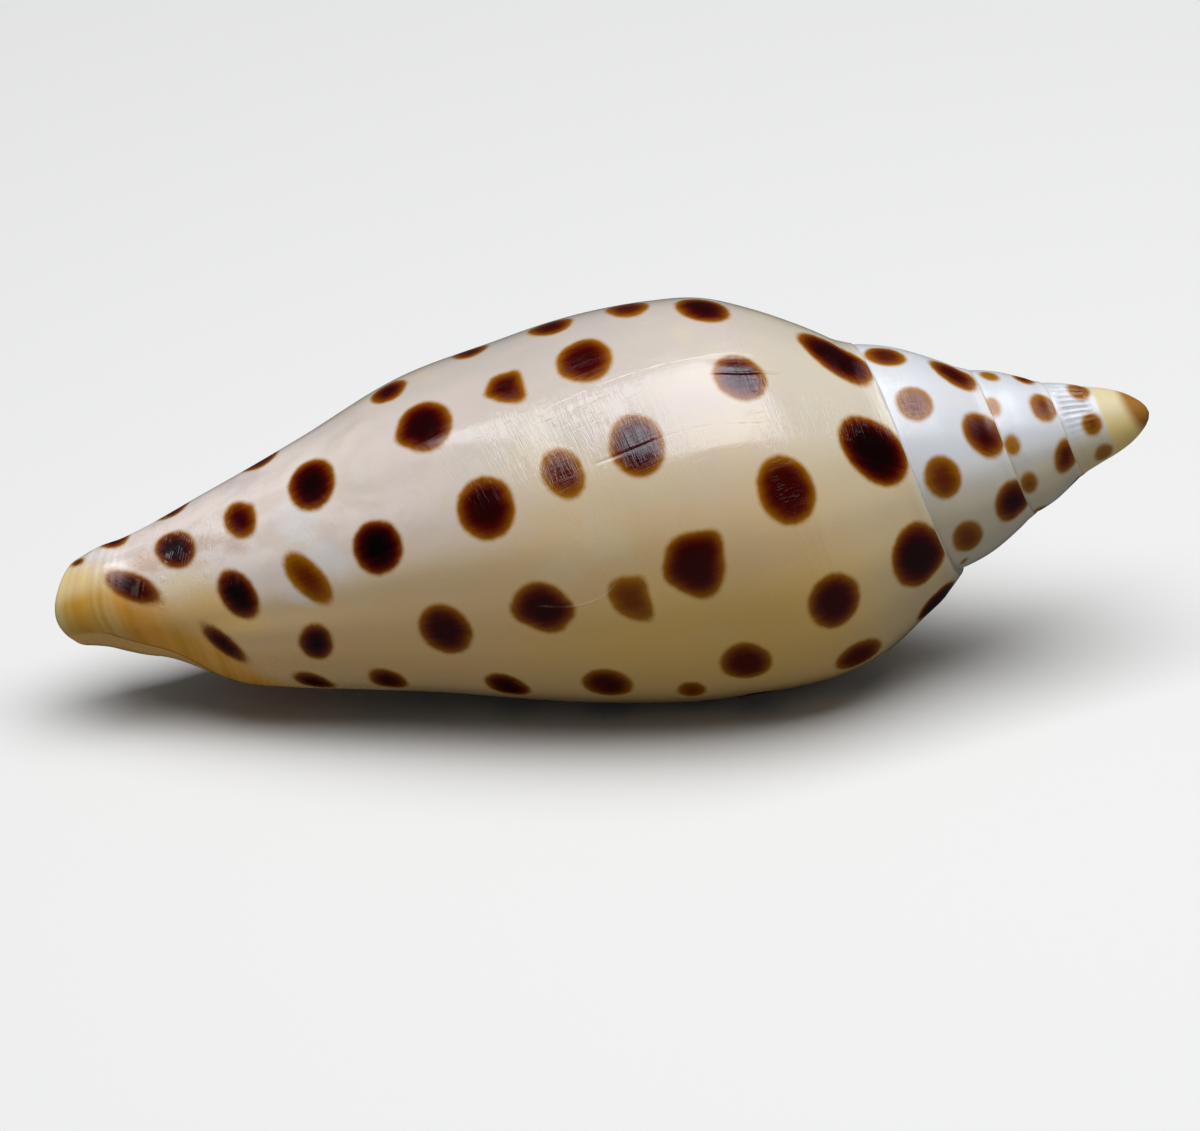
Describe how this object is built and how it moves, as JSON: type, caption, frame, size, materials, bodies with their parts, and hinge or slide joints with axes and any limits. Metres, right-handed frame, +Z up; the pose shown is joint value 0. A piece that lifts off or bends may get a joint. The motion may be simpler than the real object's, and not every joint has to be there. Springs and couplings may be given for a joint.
{
  "type": "volute shell",
  "caption": "Spindle-shaped spiral sea shell with a short spire, a long narrow aperture on its underside and oblique folds on its central pillar.",
  "frame": {"origin": "middle of the shell's bounding box in plan, on the surface it lies on", "axes": "+X from the siphonal end towards the apex, along the length; +Z up, out of the back of the shell; the aperture faces down and its outer lip is on the +Y side"},
  "size_m": [0.0994, 0.0396, 0.0351],
  "materials": {
    "shell": "glossy cream shell with rows of dark brown spots"
  },
  "bodies": {
    "root": {"shell": "shell"}
  },
  "joints": []
}
